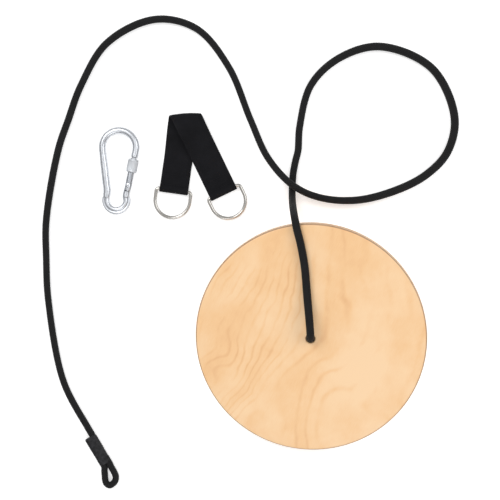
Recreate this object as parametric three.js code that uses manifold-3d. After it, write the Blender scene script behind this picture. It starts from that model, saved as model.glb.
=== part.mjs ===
// Disc swing seat kit, laid out flat: a round wooden seat on its rope, a hanging strap with two
// D-rings, and a screw-lock carabiner. Millimetres, +Z up, floor at z = 0.
import * as THREE from "three";
import { mergeVertices } from "three/addons/utils/BufferGeometryUtils.js";
import Module from "manifold-3d";

const wasm = await Module();
wasm.setup();

// ---------------------------------------------------------------- driving dimensions
const DEG = Math.PI / 180;
const GAP = 0.3; // clearance between pieces that touch
const LAYOUT_SHIFT = [-0.5, -1.8, 0]; // centres the rigid pieces on the origin, in plan

// Seat: it leans on its own stopper knot, so one side of the rim rests on the floor.
const SEAT_RADIUS = 150;
const SEAT_THICKNESS = 18;
const SEAT_EDGE_ROUND = 3;
const SEAT_TILT = 10.6 * DEG;
const SEAT_AT = [66.1, -70.6]; // where the hole meets the underside, in plan
const UPHILL = [0.515, 0.857]; // plan direction in which the seat rises
const HOLE_RADIUS = 6;
const HOLE_CHAMFER = 1;

// Rope: black braid, out of the hole, over the rim, once round a loop and down to its eye.
const ROPE_RADIUS = 4.6;
const PULLED_ROPE_RADIUS = 4.25; // drawn slimmer by the knot and round the eye
const ROPE_SIDES = 10;
const ROPE_OVER_SEAT = [
  [66.1, -70.6, 27.1], [64.4, -73.4, 44.8], [63.9, -71, 56.5], [63.4, -64.5, 63.9],
  [62.6, -55.5, 67.4], [59.4, -16, 60.8], [56, 21, 65], [50.5, 50, 69.1],
  [46.1, 66.9, 72], [43.8, 78.8, 70.8], [42.5, 90.2, 54], [42, 101.5, 28.4], [42, 111, 12],
  [42.3, 124, 5.7], [43.6, 143, 4.8], [46.7, 159.6, 4.8],
];
const ROPE_OVER_SEAT_STEPS = 34;
const ROPE_ON_FLOOR = [
  [46.9, 160.4, 4.8], [50, 173, 4.8], [52.2, 205, 4.8], [67.2, 260, 4.8], [104.5, 295.7, 4.8],
  [159, 311, 4.8], [227.3, 282.2, 4.8], [257.3, 218, 4.8], [248.3, 171.8, 4.8], [219.5, 140.8, 4.8],
  [176, 119, 5.2], [125, 107, 9.8], [76, 111, 15], [42, 127, 17.6], [10, 163, 10.4],
  [-13, 214, 5.1], [-42, 284, 4.8], [-85, 335, 4.8], [-140, 347, 4.8], [-203, 316, 4.8],
  [-237.6, 260, 4.8], [-254.6, 214, 4.8], [-268, 174, 4.8], [-283.9, 81, 4.8], [-283.9, 30, 4.8],
  [-281.2, -25, 4.8], [-261, -133, 4.8],
];
const ROPE_ON_FLOOR_STEPS = 56;

// Eye: the rope's end turned back on itself and held by a shrunk sleeve.
const SLEEVE_LENGTH = 41;
const SLEEVE_TOP = [-225.7, -206.3];
const SLEEVE_HEADING = -59.2 * DEG; // plan direction from the rope towards the eye
const SLEEVE_HALF_WIDTH = 8;
const SLEEVE_HALF_HEIGHT = 5;
// The eye's middle line in plan, between the two strands that leave the sleeve.
const EYE_LINE = [
  [-198.1, -245.6], [-194.3, -252.3], [-192.1, -257.3], [-191.6, -260.8], [-192.5, -264.6],
  [-195, -267.9], [-199.6, -270.6], [-204.1, -267.9], [-205.7, -263.4], [-206.2, -257.3],
  [-206.7, -251],
];
const STRAND_OFFSET = 4.3; // each strand from the sleeve's middle line

// Strap: 38 mm webbing folded once, its two ends sewn round the D-rings' bars.
const WEB_WIDTH = 38;
const WEB_THICKNESS = 2;
const FOLD_AT = [-99, 216]; // middle of the fold, in plan
const FOLD_HEADING = 8.8 * DEG; // direction of the fold line
const FOLD_RADIUS = 4.6;
const LEG_ANGLE = 16.9 * DEG; // each leg from the fold's normal
const LEG_LENGTHS = [96, 109]; // fold to bar, under leg and upper leg
const HEM_LENGTH = 22;
const HEM_GAP = 0.4;
const HEM_CLOSES = 10; // distance from the bar at which the two layers meet

// D-rings
const RING_WIRE = 2.25;
const RING_HALF_WIDTH = 23.2;
const RING_DEPTH = 36.5; // bar to bow, middle to middle
const RING_CORNER = 4;
const RING_REST_DIP = 3.6 * DEG;
const RING_ASIDE = 0.9; // how far the right ring has slid along its bar
const RING_SIDES = 10;
const LOOP_RADIUS = RING_WIRE + GAP + WEB_THICKNESS / 2;
const BAR_HEIGHT = LOOP_RADIUS + WEB_THICKNESS / 2;

// Carabiner, in its own plane: x across, y along, z through the wire's middle.
const CLIP_AT = [-187.4, 146.6];
const CLIP_WIRE = 4.5;
const CLIP_SIDES = 12;
const TOP_CENTRE = [0.3, 30.6];
const TOP_RADIUS = 22.6;
const SPINE_LEAN = 6.5 * DEG;
const GATE_LEAN = 12.2 * DEG;
const BOTTOM_CENTRE = [-3.4, -38.9];
const BOTTOM_RADIUS = 13.8;
const FLANGE_OUTER = 19.3;
const FLANGE_HALF_THICKNESS = 2.3;
const FLANGE_ENDS = [163, 377]; // degrees, left shoulder to right shoulder
const NOSE_STRAIGHT = 9;
const NOSE_GAP = 1;
const GATE_RADIUS = 4.5;
const GATE_LENGTH = 38.3; // pin to tip
const GATE_HEEL = 6.2;
const SLEEVE_OUTER = 7.1;
const SLEEVE_BORE = 5;
const LOCK_LENGTH = 17.4;
const LOCK_BELOW_TIP = 1.5; // the gate's tip shows above the sleeve
const SPINE_TO_SLEEVE = 36.4; // across the ring, middle to middle
const CLIP_REST_GAP = 0.2; // keeps the wire just clear of the floor
const PIN_RADIUS = 1.5;
const TONGUE_RADIUS = 3.6;
const TONGUE_HALF_THICKNESS = 1.7;
const CAM_RISE = 1.2; // how far the tongue pushes the plunger when the gate is open
const GATE_OPENS = 28 * DEG;
const BORE_RADIUS = 2.6;
const PLUNGER_TIP = 1.2;
const SPRING_TURNS = 9;

// ---------------------------------------------------------------- materials
const finish = (color, roughness, metalness = 0) =>
  new THREE.MeshStandardMaterial({ color, roughness, metalness });
const birch = () => finish(0xe9c08c, 0.45);
const braid = () => finish(0x262627, 0.85);
const shrinkTube = () => finish(0x38383a, 0.5);
const webbing = () => finish(0x1b1b1e, 0.8);
const nickel = () => finish(0xc9c6c0, 0.2, 1);
const zinc = () => finish(0xc8cace, 0.3, 1);

// ---------------------------------------------------------------- shape helpers
const kit = new THREE.Group();
kit.position.set(...LAYOUT_SHIFT);
const v3 = (x, y, z = 0) => new THREE.Vector3(x, y, z);

function piece(parent, name, geometry, material) {
  const mesh = new THREE.Mesh(geometry, material);
  mesh.name = name;
  parent.add(mesh);
  return mesh;
}

function solid(geometry) {
  const bare = geometry.clone();
  bare.deleteAttribute("normal");
  bare.deleteAttribute("uv");
  const merged = mergeVertices(bare, 1e-4);
  const vertProperties = merged.attributes.position.array;
  const triVerts = new Uint32Array(merged.index.array);
  return new wasm.Manifold(new wasm.Mesh({ numProp: 3, vertProperties, triVerts }));
}

function geometryOf(manifold) {
  const mesh = manifold.getMesh();
  const geometry = new THREE.BufferGeometry();
  geometry.setAttribute("position", new THREE.BufferAttribute(mesh.vertProperties, 3));
  geometry.setIndex(new THREE.BufferAttribute(mesh.triVerts, 1));
  geometry.computeVertexNormals();
  return geometry;
}

function polygon(radius, sides) {
  const corner = (i) => {
    const a = ((i + 0.5) / sides) * 2 * Math.PI;
    return new THREE.Vector2(radius * Math.cos(a), radius * Math.sin(a));
  };
  return new THREE.Shape(Array.from({ length: sides }, (_, i) => corner(i)));
}

// A round bar along a smooth curve through the points.
function bar(points, radius, sides, steps) {
  const extrudePath = new THREE.CatmullRomCurve3(points, false, "centripetal");
  return new THREE.ExtrudeGeometry(polygon(radius, sides), { steps, extrudePath });
}

// Points on an arc in the XY plane, angles in degrees.
function arc([cx, cy], radius, from, to, count) {
  return Array.from({ length: count + 1 }, (_, i) => {
    const a = (from + ((to - from) * i) / count) * DEG;
    return v3(cx + radius * Math.cos(a), cy + radius * Math.sin(a));
  });
}

// A cylinder along Y from y = low to y = high.
function rod(radius, low, high, sides = 28) {
  return new THREE.CylinderGeometry(radius, radius, high - low, sides).translate(0, (low + high) / 2, 0);
}

// A cylinder along Z, centred on z = 0.
function crossRod(radius, length, sides = 28) {
  return new THREE.CylinderGeometry(radius, radius, length, sides).rotateX(Math.PI / 2);
}

function block(x, y, z, atY = 0) {
  return new THREE.BoxGeometry(x, y, z).translate(0, atY, 0);
}

// A closed sheet of the given thickness about the mid-surface at(u, v), u and v from 0 to 1.
function slab(at, across, along, thickness) {
  const step = 1e-3;
  const positions = [];
  for (const side of [1, -1]) {
    for (let i = 0; i <= along; i++) {
      for (let j = 0; j <= across; j++) {
        const u = i / along;
        const v = j / across;
        const du = at(u + step, v).sub(at(u - step, v));
        const dv = at(u, v + step).sub(at(u, v - step));
        const normal = du.cross(dv).normalize();
        positions.push(...at(u, v).addScaledVector(normal, (side * thickness) / 2).toArray());
      }
    }
  }
  const row = across + 1;
  const under = row * (along + 1);
  const index = [];
  const quad = (a, b, c, d) => index.push(a, b, c, a, c, d);
  for (let i = 0; i < along; i++) {
    for (let j = 0; j < across; j++) {
      const k = i * row + j;
      quad(k, k + row, k + row + 1, k + 1);
      quad(under + k, under + k + 1, under + k + row + 1, under + k + row);
    }
    const left = i * row;
    const right = left + across;
    quad(left, under + left, under + left + row, left + row);
    quad(right, right + row, under + right + row, under + right);
  }
  for (let j = 0; j < across; j++) {
    const far = along * row + j;
    quad(j, j + 1, under + j + 1, under + j);
    quad(far, under + far, under + far + 1, far + 1);
  }
  const geometry = new THREE.BufferGeometry();
  geometry.setAttribute("position", new THREE.Float32BufferAttribute(positions, 3));
  geometry.setIndex(index);
  geometry.computeVertexNormals();
  return geometry;
}

const ease = (x) => {
  const t = Math.min(Math.max(x, 0), 1);
  return t * t * (3 - 2 * t);
};

// ---------------------------------------------------------------- seat and stopper knot
const seatHeight =
  (SEAT_RADIUS - SEAT_EDGE_ROUND) * Math.sin(SEAT_TILT) + SEAT_EDGE_ROUND * (1 - Math.cos(SEAT_TILT));
const seatUp = v3(-UPHILL[0] * Math.sin(SEAT_TILT), -UPHILL[1] * Math.sin(SEAT_TILT), Math.cos(SEAT_TILT));
const holeFoot = v3(...SEAT_AT, seatHeight);
const knotRadius = (seatHeight - GAP * Math.cos(SEAT_TILT)) / (1 + Math.cos(SEAT_TILT));
const knotCentre = holeFoot.clone().addScaledVector(seatUp, -knotRadius - GAP);

function seatProfile() {
  const outline = [
    [HOLE_RADIUS, HOLE_CHAMFER], [HOLE_RADIUS + HOLE_CHAMFER, 0],
  ];
  const corners = [
    [SEAT_EDGE_ROUND, -90], [SEAT_THICKNESS - SEAT_EDGE_ROUND, 0],
  ];
  for (const [height, from] of corners) {
    for (let a = from; a <= from + 90; a += 22.5) {
      outline.push([
        SEAT_RADIUS - SEAT_EDGE_ROUND + SEAT_EDGE_ROUND * Math.cos(a * DEG),
        height + SEAT_EDGE_ROUND * Math.sin(a * DEG),
      ]);
    }
  }
  outline.push([HOLE_RADIUS + HOLE_CHAMFER, SEAT_THICKNESS]);
  outline.push([HOLE_RADIUS, SEAT_THICKNESS - HOLE_CHAMFER]);
  outline.push(outline[0]);
  return outline.map(([r, h]) => new THREE.Vector2(r, h));
}

const seatFrame = new THREE.Group();
seatFrame.position.copy(holeFoot);
seatFrame.quaternion.setFromUnitVectors(v3(0, 1, 0), seatUp);
kit.add(seatFrame);
piece(seatFrame, "seat_disc", new THREE.LatheGeometry(seatProfile(), 72), birch());

// The knot is a ball of rope: slightly waisted, with its tail lying on the floor beside it.
function knotProfile() {
  const rings = 14;
  const outline = [];
  for (let i = 0; i <= rings; i++) {
    const a = (-90 + (180 * i) / rings) * DEG;
    const waist = 1 - 0.06 * Math.cos(a) ** 8;
    outline.push(new THREE.Vector2(Math.max(knotRadius * Math.cos(a) * waist, 0), knotRadius * Math.sin(a)));
  }
  outline[0].x = 0;
  outline[rings].x = 0;
  return outline;
}
const knotFrame = new THREE.Group();
knotFrame.position.copy(knotCentre);
kit.add(knotFrame);
piece(knotFrame, "stopper_knot", new THREE.LatheGeometry(knotProfile(), 24).rotateX(Math.PI / 2), braid());

const tailPoints = [
  [knotRadius + GAP + 0.6, 2, -4], [knotRadius + 7, 0, -6.5], [knotRadius + 16, -5, -9.0], [knotRadius + 23, -11, -9.1],
].map(([x, y, z]) => v3(knotCentre.x + x, knotCentre.y + y, knotCentre.z + z));
piece(kit, "knot_tail", bar(tailPoints, PULLED_ROPE_RADIUS, ROPE_SIDES, 6), braid());

// ---------------------------------------------------------------- rope, sleeve and eye
const heading = (angle) => v3(Math.cos(angle), Math.sin(angle));
const sideways = (angle) => v3(-Math.sin(angle), Math.cos(angle));
const sleeveTop = v3(...SLEEVE_TOP, SLEEVE_HALF_HEIGHT);
const sleeveEnd = sleeveTop.clone().addScaledVector(heading(SLEEVE_HEADING), SLEEVE_LENGTH);

const routePoints = (route) => route.map((p) => v3(...p));

function floorPoints() {
  const strand = sleeveTop.clone().addScaledVector(sideways(SLEEVE_HEADING), STRAND_OFFSET - 0.65);
  const entry = strand.clone().addScaledVector(heading(SLEEVE_HEADING), -GAP);
  const lead = strand.clone().addScaledVector(heading(SLEEVE_HEADING), -14);
  return [...routePoints(ROPE_ON_FLOOR), lead, entry];
}
const overSeat = bar(routePoints(ROPE_OVER_SEAT), ROPE_RADIUS, ROPE_SIDES, ROPE_OVER_SEAT_STEPS);
const onFloor = bar(floorPoints(), ROPE_RADIUS, ROPE_SIDES, ROPE_ON_FLOOR_STEPS);
piece(kit, "rope_over_seat", overSeat, braid());
piece(kit, "rope_on_floor", onFloor, braid());

// The sleeve is an oval tube shrunk over two strands, drawn as its filled outer shape.
function ovalShape(halfWidth, halfHeight) {
  const flat = halfWidth - halfHeight;
  const shape = new THREE.Shape();
  shape.absarc(flat, 0, halfHeight, -Math.PI / 2, Math.PI / 2);
  shape.absarc(-flat, 0, halfHeight, Math.PI / 2, (3 * Math.PI) / 2);
  return shape;
}
const sleeveFrame = new THREE.Group();
sleeveFrame.position.copy(sleeveTop);
sleeveFrame.rotation.z = SLEEVE_HEADING - Math.PI / 2;
kit.add(sleeveFrame);
const sleeveGeometry = new THREE.ExtrudeGeometry(ovalShape(SLEEVE_HALF_WIDTH, SLEEVE_HALF_HEIGHT), {
  depth: SLEEVE_LENGTH,
  bevelEnabled: false,
  curveSegments: 8,
}).rotateX(-Math.PI / 2);
piece(sleeveFrame, "eye_sleeve", sleeveGeometry, shrinkTube());

function eyePoints() {
  const mouth = (side, distance) =>
    sleeveEnd.clone().addScaledVector(heading(SLEEVE_HEADING), distance)
      .addScaledVector(sideways(SLEEVE_HEADING), side * STRAND_OFFSET);
  const eye = EYE_LINE.map(([x, y]) => v3(x, y, sleeveEnd.z));
  return [mouth(1, GAP), mouth(1, 2.6), ...eye, mouth(-1, 3), mouth(-1, GAP)];
}
piece(kit, "rope_eye", bar(eyePoints(), PULLED_ROPE_RADIUS, ROPE_SIDES, 30), braid());

// ---------------------------------------------------------------- strap
const foldLine = heading(FOLD_HEADING);
const foldUp = sideways(FOLD_HEADING);
const foldArc = (Math.PI * FOLD_RADIUS) / Math.cos(LEG_ANGLE);
const loopArc = Math.PI * LOOP_RADIUS;
const hemReturn = LOOP_RADIUS + HEM_LENGTH;

// Height of the webbing's middle at a distance from the bar, on the leg's outer layer.
function legHeight(distance, upper) {
  const overBar = BAR_HEIGHT + LOOP_RADIUS;
  const overHem = 1.5 * WEB_THICKNESS + HEM_GAP;
  const floor = WEB_THICKNESS / 2;
  const nearBar = overBar + (overHem - overBar) * ease(distance / HEM_CLOSES);
  if (upper) {
    const top = floor + 2 * FOLD_RADIUS;
    return nearBar + (top - overHem) * ease((distance - 38) / (LEG_LENGTHS[1] - 42));
  }
  return nearBar + (floor - overHem) * ease((distance - HEM_LENGTH - 4) / 14);
}

// Height and distance from the bar of a point that is `past` the bar, round the loop and back.
function hem(past) {
  if (past < loopArc) {
    const a = past / LOOP_RADIUS;
    return [-LOOP_RADIUS * Math.sin(a), BAR_HEIGHT + LOOP_RADIUS * Math.cos(a)];
  }
  const back = past - loopArc;
  const drop = BAR_HEIGHT - LOOP_RADIUS;
  return [back, drop + (WEB_THICKNESS / 2 - drop) * ease(back / HEM_CLOSES)];
}

// The webbing's mid-surface: length along it, and distance across it.
function strapPoint(length, across) {
  const underLeg = LEG_LENGTHS[0];
  const fromFold = length - underLeg;
  const slope = Math.tan(LEG_ANGLE);
  const intoFold = (fromFold - foldArc / 2) - across * slope;
  const a = FOLD_RADIUS * Math.PI;
  const along = intoFold * Math.cos(LEG_ANGLE) + a / 2;
  const aside = (fromFold - foldArc / 2) * Math.sin(LEG_ANGLE) + across / Math.cos(LEG_ANGLE)
    - across * slope * Math.sin(LEG_ANGLE);
  const place = v3(...FOLD_AT).addScaledVector(foldLine, aside);
  const toUnderBar = length;
  const toUpperBar = underLeg + foldArc + LEG_LENGTHS[1] - length;
  if (along < 0) {
    const [reach, height] = toUnderBar < 0 ? hem(-toUnderBar) : [toUnderBar, legHeight(toUnderBar, false)];
    const shift = (reach - toUnderBar) * Math.cos(LEG_ANGLE);
    place.addScaledVector(foldUp, along + shift);
    place.addScaledVector(foldLine, (reach - toUnderBar) * Math.sin(LEG_ANGLE));
    return place.setZ(height);
  }
  if (along > a) {
    const [reach, height] = toUpperBar < 0 ? hem(-toUpperBar) : [toUpperBar, legHeight(toUpperBar, true)];
    const shift = (reach - toUpperBar) * Math.cos(LEG_ANGLE);
    place.addScaledVector(foldUp, a - along + shift);
    place.addScaledVector(foldLine, (toUpperBar - reach) * Math.sin(LEG_ANGLE));
    return place.setZ(height);
  }
  const turn = along / FOLD_RADIUS;
  place.addScaledVector(foldUp, FOLD_RADIUS * Math.sin(turn));
  return place.setZ(WEB_THICKNESS / 2 + FOLD_RADIUS * (1 - Math.cos(turn)));
}

const strapStart = -(loopArc + hemReturn);
const strapLength = LEG_LENGTHS[0] + LEG_LENGTHS[1] + foldArc + 2 * (loopArc + hemReturn);
const strapSurface = (u, v) => strapPoint(strapStart + u * strapLength, (v - 0.5) * WEB_WIDTH);
piece(kit, "strap_webbing", slab(strapSurface, 4, 116, WEB_THICKNESS), webbing());

// ---------------------------------------------------------------- D-rings
function ringPoints() {
  const half = RING_HALF_WIDTH;
  const legEnd = RING_DEPTH - half;
  const right = [
    v3(GAP / 2, 0), v3(6, 0), v3(13, 0),
    ...arc([half - RING_CORNER, -RING_CORNER], RING_CORNER, 90, 0, 3),
    v3(half, -(legEnd + RING_CORNER) / 2),
    ...arc([0, -legEnd], half, 0, -80, 8),
  ];
  const left = right.map((p) => v3(-p.x, p.y)).reverse();
  return [...right, v3(0, -RING_DEPTH), ...left];
}

// Each ring hangs from its bar at the end of one leg, dipping to the floor.
function ring(name, upper) {
  const end = upper ? LEG_LENGTHS[0] + foldArc + LEG_LENGTHS[1] : 0;
  const leg = upper ? FOLD_HEADING + LEG_ANGLE : FOLD_HEADING - LEG_ANGLE;
  const middle = strapPoint(end, 0).addScaledVector(heading(leg), upper ? RING_ASIDE : 0);
  const frame = new THREE.Group();
  frame.position.set(middle.x, middle.y, BAR_HEIGHT);
  frame.rotation.set(RING_REST_DIP, 0, leg, "ZYX");
  kit.add(frame);
  piece(frame, name, bar(ringPoints(), RING_WIRE, RING_SIDES, 60), nickel());
  return frame;
}
ring("d_ring_left", false);
ring("d_ring_right", true);

// ---------------------------------------------------------------- carabiner
const gateDown = v3(-Math.sin(GATE_LEAN), -Math.cos(GATE_LEAN));
const noseRoot = v3(
  TOP_CENTRE[0] + TOP_RADIUS * Math.cos(GATE_LEAN),
  TOP_CENTRE[1] - TOP_RADIUS * Math.sin(GATE_LEAN),
);
const noseEnd = noseRoot.clone().addScaledVector(gateDown, NOSE_STRAIGHT);
const gatePivot = noseEnd.clone().addScaledVector(gateDown, NOSE_GAP + GATE_LENGTH);
const spineDown = v3(Math.sin(SPINE_LEAN), -Math.cos(SPINE_LEAN));
const spineTop = v3(
  TOP_CENTRE[0] - TOP_RADIUS * Math.cos(SPINE_LEAN),
  TOP_CENTRE[1] - TOP_RADIUS * Math.sin(SPINE_LEAN),
);

// Lying down, the carabiner rests on its spine and on the fatter lock sleeve.
const clipTilt = Math.asin((SLEEVE_OUTER - CLIP_WIRE) / SPINE_TO_SLEEVE);
const originToSpine = spineTop.clone().cross(spineDown).z;
const clip = new THREE.Group();
clip.quaternion.setFromAxisAngle(spineDown, clipTilt);
const clipHeight = CLIP_WIRE + CLIP_REST_GAP + Math.abs(originToSpine) * Math.sin(clipTilt);
clip.position.set(...CLIP_AT, clipHeight);
kit.add(clip);

const gateFrame = new THREE.Group();
gateFrame.position.copy(gatePivot);
gateFrame.rotation.z = -GATE_LEAN;
clip.add(gateFrame);
gateFrame.updateMatrix();

// The pressed flange round the outside of the bottom bend, built as a turned band.
function flange() {
  const h = FLANGE_HALF_THICKNESS;
  const rim = FLANGE_OUTER - h;
  const outline = [new THREE.Vector2(BOTTOM_RADIUS - 1, -h)];
  for (let a = -90; a <= 90; a += 30) {
    outline.push(new THREE.Vector2(rim + h * Math.cos(a * DEG), h * Math.sin(a * DEG)));
  }
  outline.push(new THREE.Vector2(BOTTOM_RADIUS - 1, h), outline[0]);
  const full = new THREE.LatheGeometry(outline, 72).rotateX(Math.PI / 2);
  full.translate(...BOTTOM_CENTRE, 0);
  const mouth = new THREE.Shape();
  mouth.moveTo(...BOTTOM_CENTRE);
  for (const end of FLANGE_ENDS) {
    const a = end * DEG;
    mouth.lineTo(BOTTOM_CENTRE[0] + 60 * Math.cos(a), BOTTOM_CENTRE[1] + 60 * Math.sin(a));
    if (end === FLANGE_ENDS[0]) mouth.lineTo(BOTTOM_CENTRE[0], BOTTOM_CENTRE[1] + 60);
  }
  const cut = new THREE.ExtrudeGeometry(mouth, { depth: 20, bevelEnabled: false }).translate(0, 0, -10);
  return solid(full).subtract(solid(cut));
}

// The flat tongue that the gate straddles; its rounded end is a cam that pushes the plunger.
function tongue() {
  const outline = new THREE.Shape();
  outline.moveTo(-TONGUE_RADIUS, -GATE_HEEL - 4);
  outline.lineTo(TONGUE_RADIUS, -GATE_HEEL - 4);
  for (let a = 0; a <= 180; a += 10) {
    const opened = Math.min(Math.max((a - 90) * DEG, -0.3), GATE_OPENS);
    const r = TONGUE_RADIUS + (CAM_RISE * opened) / GATE_OPENS * ease((a - 60) / 30) * ease((180 - a) / 30);
    outline.lineTo(r * Math.cos(a * DEG), r * Math.sin(a * DEG));
  }
  const plate = new THREE.ExtrudeGeometry(outline, {
    depth: 2 * TONGUE_HALF_THICKNESS,
    bevelEnabled: false,
  }).translate(0, 0, -TONGUE_HALF_THICKNESS);
  const drilled = solid(plate).subtract(solid(crossRod(PIN_RADIUS + GAP, 20)));
  return solid(geometryOf(drilled).applyMatrix4(gateFrame.matrix));
}

function carabinerBody() {
  const heel = (distance) => gatePivot.clone().addScaledVector(gateDown, distance);
  const spine = [0.08, 0.3, 0.52, 0.74, 0.92].map((t) => spineTop.clone().addScaledVector(spineDown, 60 * t));
  const topBend = arc(TOP_CENTRE, TOP_RADIUS, -12.2, 186.5, 16);
  const bottomBend = arc(BOTTOM_CENTRE, BOTTOM_RADIUS, 172, 352, 14);
  const points = [noseEnd, noseEnd.clone().lerp(noseRoot, 0.5), ...topBend, ...spine, ...bottomBend,
    heel(13), heel(3)];
  const wire = solid(bar(points, CLIP_WIRE, CLIP_SIDES, 88));
  const swing = crossRod(GATE_HEEL + 0.4, 20, 48).applyMatrix4(gateFrame.matrix);
  return geometryOf(wire.add(flange()).subtract(solid(swing)).add(tongue()));
}
piece(clip, "carabiner_body", carabinerBody(), zinc());

function gateGeometry() {
  const heel = solid(rod(GATE_RADIUS, -8, 1)).intersect(solid(crossRod(GATE_HEEL, 20, 48)));
  const slot = block(12, 14, 2 * (TONGUE_HALF_THICKNESS + GAP), -1.4);
  return geometryOf(
    solid(rod(GATE_RADIUS, 0, GATE_LENGTH)).add(heel)
      .subtract(solid(slot))
      .subtract(solid(rod(BORE_RADIUS, 4, 30)))
      .subtract(solid(crossRod(PIN_RADIUS + GAP, 20))),
  );
}
piece(gateFrame, "gate", gateGeometry(), zinc());
piece(gateFrame, "gate_pin", crossRod(PIN_RADIUS, 8.4, 20), zinc());

// Screw sleeve: a knurled ring round the gate's tip, screwed up over the nose to lock it.
function lockSleeve() {
  const high = GATE_LENGTH - LOCK_BELOW_TIP;
  const low = high - LOCK_LENGTH;
  const outline = [
    [SLEEVE_BORE, low], [SLEEVE_OUTER - 0.7, low], [SLEEVE_OUTER, low + 0.8],
    [SLEEVE_OUTER, high - 0.8], [SLEEVE_OUTER - 0.7, high], [SLEEVE_BORE, high],
    [SLEEVE_BORE, low],
  ].map(([r, y]) => new THREE.Vector2(r, y));
  return new THREE.LatheGeometry(outline, 32);
}
piece(gateFrame, "lock_sleeve", lockSleeve(), zinc());

// Inside the gate: a plunger on the tongue's cam, and the spring behind it.
function plunger() {
  const tip = TONGUE_RADIUS + GAP + 0.2;
  const outline = [[0, tip], [PLUNGER_TIP * 0.7, tip + PLUNGER_TIP * 0.3], [PLUNGER_TIP, tip + PLUNGER_TIP],
    [PLUNGER_TIP, 6.4], [BORE_RADIUS - GAP, 6.9], [BORE_RADIUS - GAP, 9.5], [1, 9.5], [1, 12], [0, 12]];
  return new THREE.LatheGeometry(outline.map(([r, y]) => new THREE.Vector2(r, y)), 20);
}
piece(gateFrame, "spring_plunger", plunger(), zinc());

function spring() {
  const low = 10.2;
  const high = 29.4;
  const radius = 1.75;
  const points = Array.from({ length: SPRING_TURNS * 8 + 1 }, (_, i) => {
    const a = (i / 8) * 2 * Math.PI;
    return v3(radius * Math.cos(a), low + ((high - low) * i) / (SPRING_TURNS * 8), radius * Math.sin(a));
  });
  return bar(points, 0.32, 5, SPRING_TURNS * 8);
}
piece(gateFrame, "gate_spring", spring(), zinc());

export default kit;
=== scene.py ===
"""Disc swing seat kit laid out flat on a pale floor. Metres, +Z up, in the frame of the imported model."""
import math

import bpy
import numpy as np
from mathutils import Matrix, Vector


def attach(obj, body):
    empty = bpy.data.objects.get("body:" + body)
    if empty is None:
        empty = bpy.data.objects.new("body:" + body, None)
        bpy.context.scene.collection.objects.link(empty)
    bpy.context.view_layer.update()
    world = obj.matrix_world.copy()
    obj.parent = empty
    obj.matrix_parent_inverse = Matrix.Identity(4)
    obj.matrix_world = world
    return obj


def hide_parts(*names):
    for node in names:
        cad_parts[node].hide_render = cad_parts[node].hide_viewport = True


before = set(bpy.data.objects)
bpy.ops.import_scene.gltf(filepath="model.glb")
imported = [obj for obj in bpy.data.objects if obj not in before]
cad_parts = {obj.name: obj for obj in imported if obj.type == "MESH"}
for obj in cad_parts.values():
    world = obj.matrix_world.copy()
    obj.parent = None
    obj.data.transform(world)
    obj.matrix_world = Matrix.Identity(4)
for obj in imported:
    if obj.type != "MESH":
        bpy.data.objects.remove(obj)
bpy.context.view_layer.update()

MM = 0.001
TAU = 2 * math.pi

# ---------------------------------------------------------------- dimensions, as in the CAD
SEAT_FOOT = Vector((0.0656, -0.0724, 0.027092))
SEAT_UP = Vector((-0.0947356, -0.1576408, 0.9829418))
SEAT_RADIUS = 150 * MM
SEAT_THICKNESS = 18 * MM
SEAT_EDGE_ROUND = 3 * MM
HOLE_RADIUS = 6 * MM
HOLE_CHAMFER = 1 * MM

KNOT_CENTRE = Vector((0.066873, -0.070283, 0.013512))
KNOT_SCALE = 3.0 * MM

KNOT_ROPE_RADIUS = 4.25 * MM
EYE_ROPE_RADIUS = 4.4 * MM
ROPE_ROUTE = [
    (0.0656, -0.0724, 0.0271), (0.0639, -0.0752, 0.0448), (0.0634, -0.0728, 0.0565),
    (0.0629, -0.0663, 0.0639), (0.0621, -0.0573, 0.0674), (0.0589, -0.0178, 0.0608),
    (0.0555, 0.0192, 0.065), (0.05, 0.0482, 0.0691), (0.0456, 0.0651, 0.072),
    (0.0433, 0.077, 0.0708), (0.042, 0.0884, 0.054), (0.0415, 0.0997, 0.0284),
    (0.0415, 0.1092, 0.012), (0.0418, 0.1222, 0.0057), (0.0431, 0.1412, 0.0048),
    (0.0463, 0.1582, 0.0048), (0.0495, 0.1712, 0.0048), (0.0517, 0.2032, 0.0048),
    (0.0667, 0.2582, 0.0048), (0.104, 0.2939, 0.0048), (0.1585, 0.3092, 0.0048),
    (0.2268, 0.2804, 0.0048), (0.2568, 0.2162, 0.0048), (0.2478, 0.17, 0.0048),
    (0.219, 0.139, 0.0048), (0.1755, 0.1172, 0.0052), (0.1245, 0.1052, 0.0098),
    (0.0755, 0.1092, 0.015), (0.0415, 0.1252, 0.0176), (0.0095, 0.1612, 0.0104),
    (-0.0135, 0.2122, 0.0051), (-0.0425, 0.2822, 0.0048), (-0.0855, 0.3332, 0.0048),
    (-0.1405, 0.3452, 0.0048), (-0.2035, 0.3142, 0.0048), (-0.2381, 0.2582, 0.0048),
    (-0.2551, 0.2122, 0.0048), (-0.2685, 0.1722, 0.0048), (-0.2844, 0.0792, 0.0048),
    (-0.2844, 0.0282, 0.0048), (-0.2817, -0.0268, 0.0048), (-0.2615, -0.1348, 0.0048),
]

SLEEVE_TOP = Vector((-0.2262, -0.2081, 0.005))
SLEEVE_HEADING = math.radians(-59.2)
SLEEVE_LENGTH = 41 * MM
SLEEVE_HALF_WIDTH = 8.3 * MM
SLEEVE_HALF_HEIGHT = 5 * MM
ENTRY_OFFSET = 3.65 * MM  # the rope from the sleeve's middle line, where it goes in
STRAND_OFFSET = 4.1 * MM  # each strand from the middle line, where the eye comes out
EYE_LINE = [
    (-0.1986, -0.2474), (-0.1948, -0.2541), (-0.1926, -0.2591), (-0.1921, -0.2626),
    (-0.193, -0.2664), (-0.1955, -0.2697), (-0.2001, -0.2724), (-0.2046, -0.2697),
    (-0.2062, -0.2652), (-0.2067, -0.2591), (-0.2072, -0.2528),
]

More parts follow.
